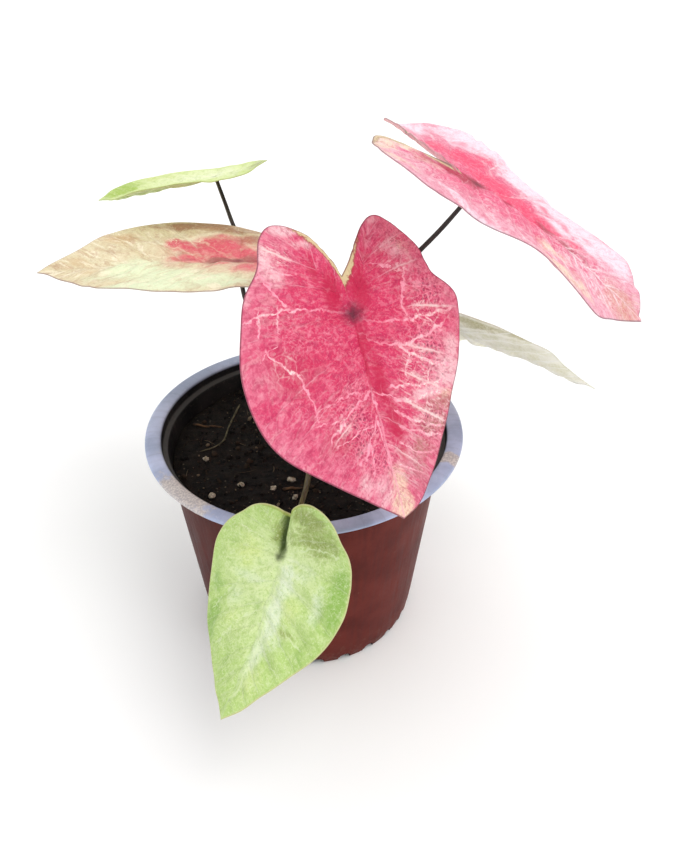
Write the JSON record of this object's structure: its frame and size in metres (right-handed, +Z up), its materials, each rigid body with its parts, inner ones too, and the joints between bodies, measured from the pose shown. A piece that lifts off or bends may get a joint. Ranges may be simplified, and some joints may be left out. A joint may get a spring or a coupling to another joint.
{
  "type": "potted caladium",
  "caption": "Foliage plant with heart-shaped blades on slender stalks, growing from a tuber in a round tapered nursery pot with a wide rolled rim.",
  "frame": {"origin": "centre of the pot's base, on the ground", "axes": "+Z up; the plant's front, where the drooping green blade hangs over the rim, faces -Y; +X to the right seen from the front"},
  "size_m": [0.2641, 0.2451, 0.2529],
  "materials": {
    "pot_plastic": "satin brick-red body with a dusty grey-blue rim",
    "potting_mix": "dark, matt, crumbly peat and bark",
    "tuber_skin": "matt, papery",
    "petiole_dark": "satin, dark grey-brown",
    "petiole_olive": "satin, olive-brown",
    "leaf_pink_main": "satin, hot pink with paler veins and blotches",
    "leaf_pink_upper_right": "satin, pink with pale lilac margins",
    "leaf_cream_left": "satin, cream and tan with pink at the junction",
    "leaf_green_upper_left": "satin, bright yellow-green",
    "leaf_grey_lower_right": "matt, pale grey-green underside",
    "leaf_green_front": "satin, yellow-green with a pale midrib",
    "perlite": "matt, chalky",
    "dry_root": "matt, dry",
    "bark": "matt, rough"
  },
  "bodies": {
    "root": {"pot": "pot_plastic", "soil": "potting_mix", "tuber": "tuber_skin", "petiole_main_pink": "petiole_dark", "petiole_front_green": "petiole_olive", "petiole_upper_right_pink": "petiole_dark", "petiole_left_cream": "petiole_dark", "petiole_upper_left_green": "petiole_dark", "petiole_lower_right_grey": "petiole_dark", "leaf_main_pink": "leaf_pink_main", "leaf_upper_right_pink": "leaf_pink_upper_right", "leaf_left_cream": "leaf_cream_left", "leaf_upper_left_green": "leaf_green_upper_left", "leaf_lower_right_grey": "leaf_grey_lower_right", "leaf_front_green": "leaf_green_front", "perlite_grain_1": "perlite", "perlite_grain_2": "perlite", "perlite_grain_3": "perlite", "perlite_grain_4": "perlite", "perlite_grain_5": "perlite", "perlite_grain_6": "perlite", "dry_root_strand": "dry_root", "bark_twig_near": "bark", "bark_twig_far": "bark"}
  },
  "joints": []
}
